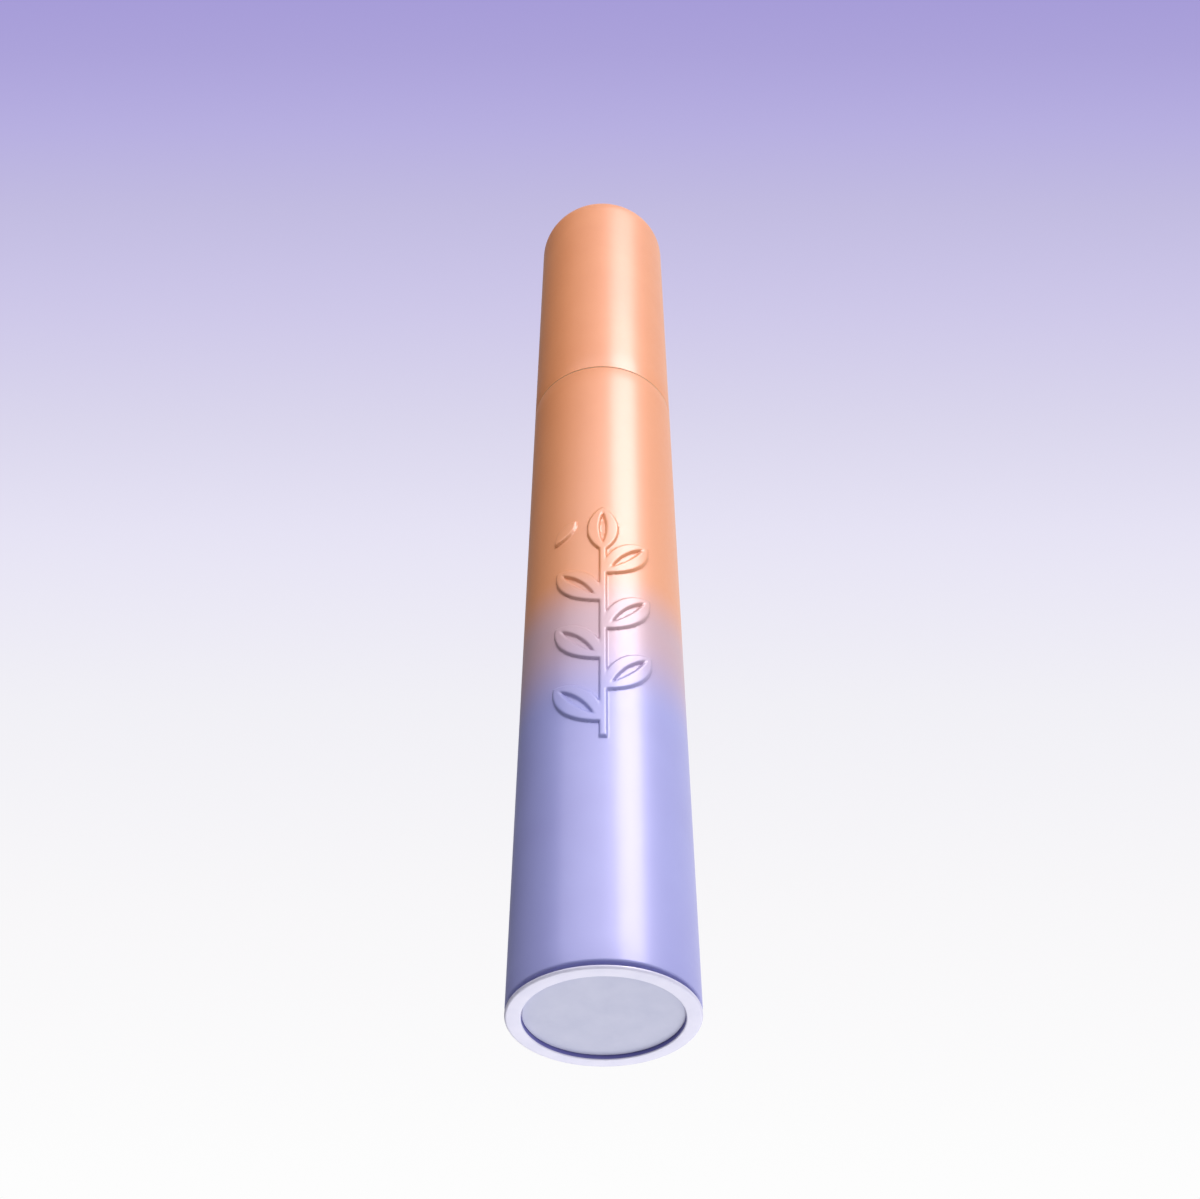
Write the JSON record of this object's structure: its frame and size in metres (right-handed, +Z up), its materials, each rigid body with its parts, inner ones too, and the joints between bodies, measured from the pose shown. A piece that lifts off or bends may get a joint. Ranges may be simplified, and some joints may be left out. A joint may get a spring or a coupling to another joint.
{
  "type": "mascara tube",
  "caption": "Cylindrical two-tone mascara tube whose quick-turn cap carries a rod and a tapered moulded brush.",
  "frame": {"origin": "centre of the base, on the table the tube stands on", "axes": "+Z up along the axis of the tube, -Y towards the raised leaves on the front"},
  "size_m": [0.019, 0.0194, 0.1402],
  "materials": {
    "two_tone_shell": "satin, peach fading to lilac",
    "pale_plastic": "satin",
    "label": "matte",
    "natural_plastic": "translucent",
    "soft_elastomer": "matte",
    "formula": "wet",
    "peach_shell": "satin",
    "dark_liner": "gloss",
    "foam": "matte",
    "black_gloss": "gloss",
    "brush_elastomer": "satin"
  },
  "bodies": {
    "bottle": {"outer_shell": "two_tone_shell", "base_plug": "pale_plastic", "base_label": "label", "inner_vial": "natural_plastic", "wiper": "soft_elastomer", "mascara_formula": "formula"},
    "washer": {"seal_washer": "foam"},
    "applicator": {"cap_shell": "peach_shell", "inner_cap": "dark_liner", "rod": "black_gloss", "brush": "brush_elastomer"}
  },
  "joints": [
    {"name": "applicator_pull", "type": "slide", "parent": "bottle", "child": "washer", "axis": [0, 0, 1], "range_m": [0, 0.092], "deforming": ["wiper"]},
    {"name": "cap_turn", "type": "hinge", "parent": "washer", "child": "applicator", "pos_m": [0, 0, 0.1], "axis": [0, 0, 1], "range_deg": [0, 90]}
  ]
}
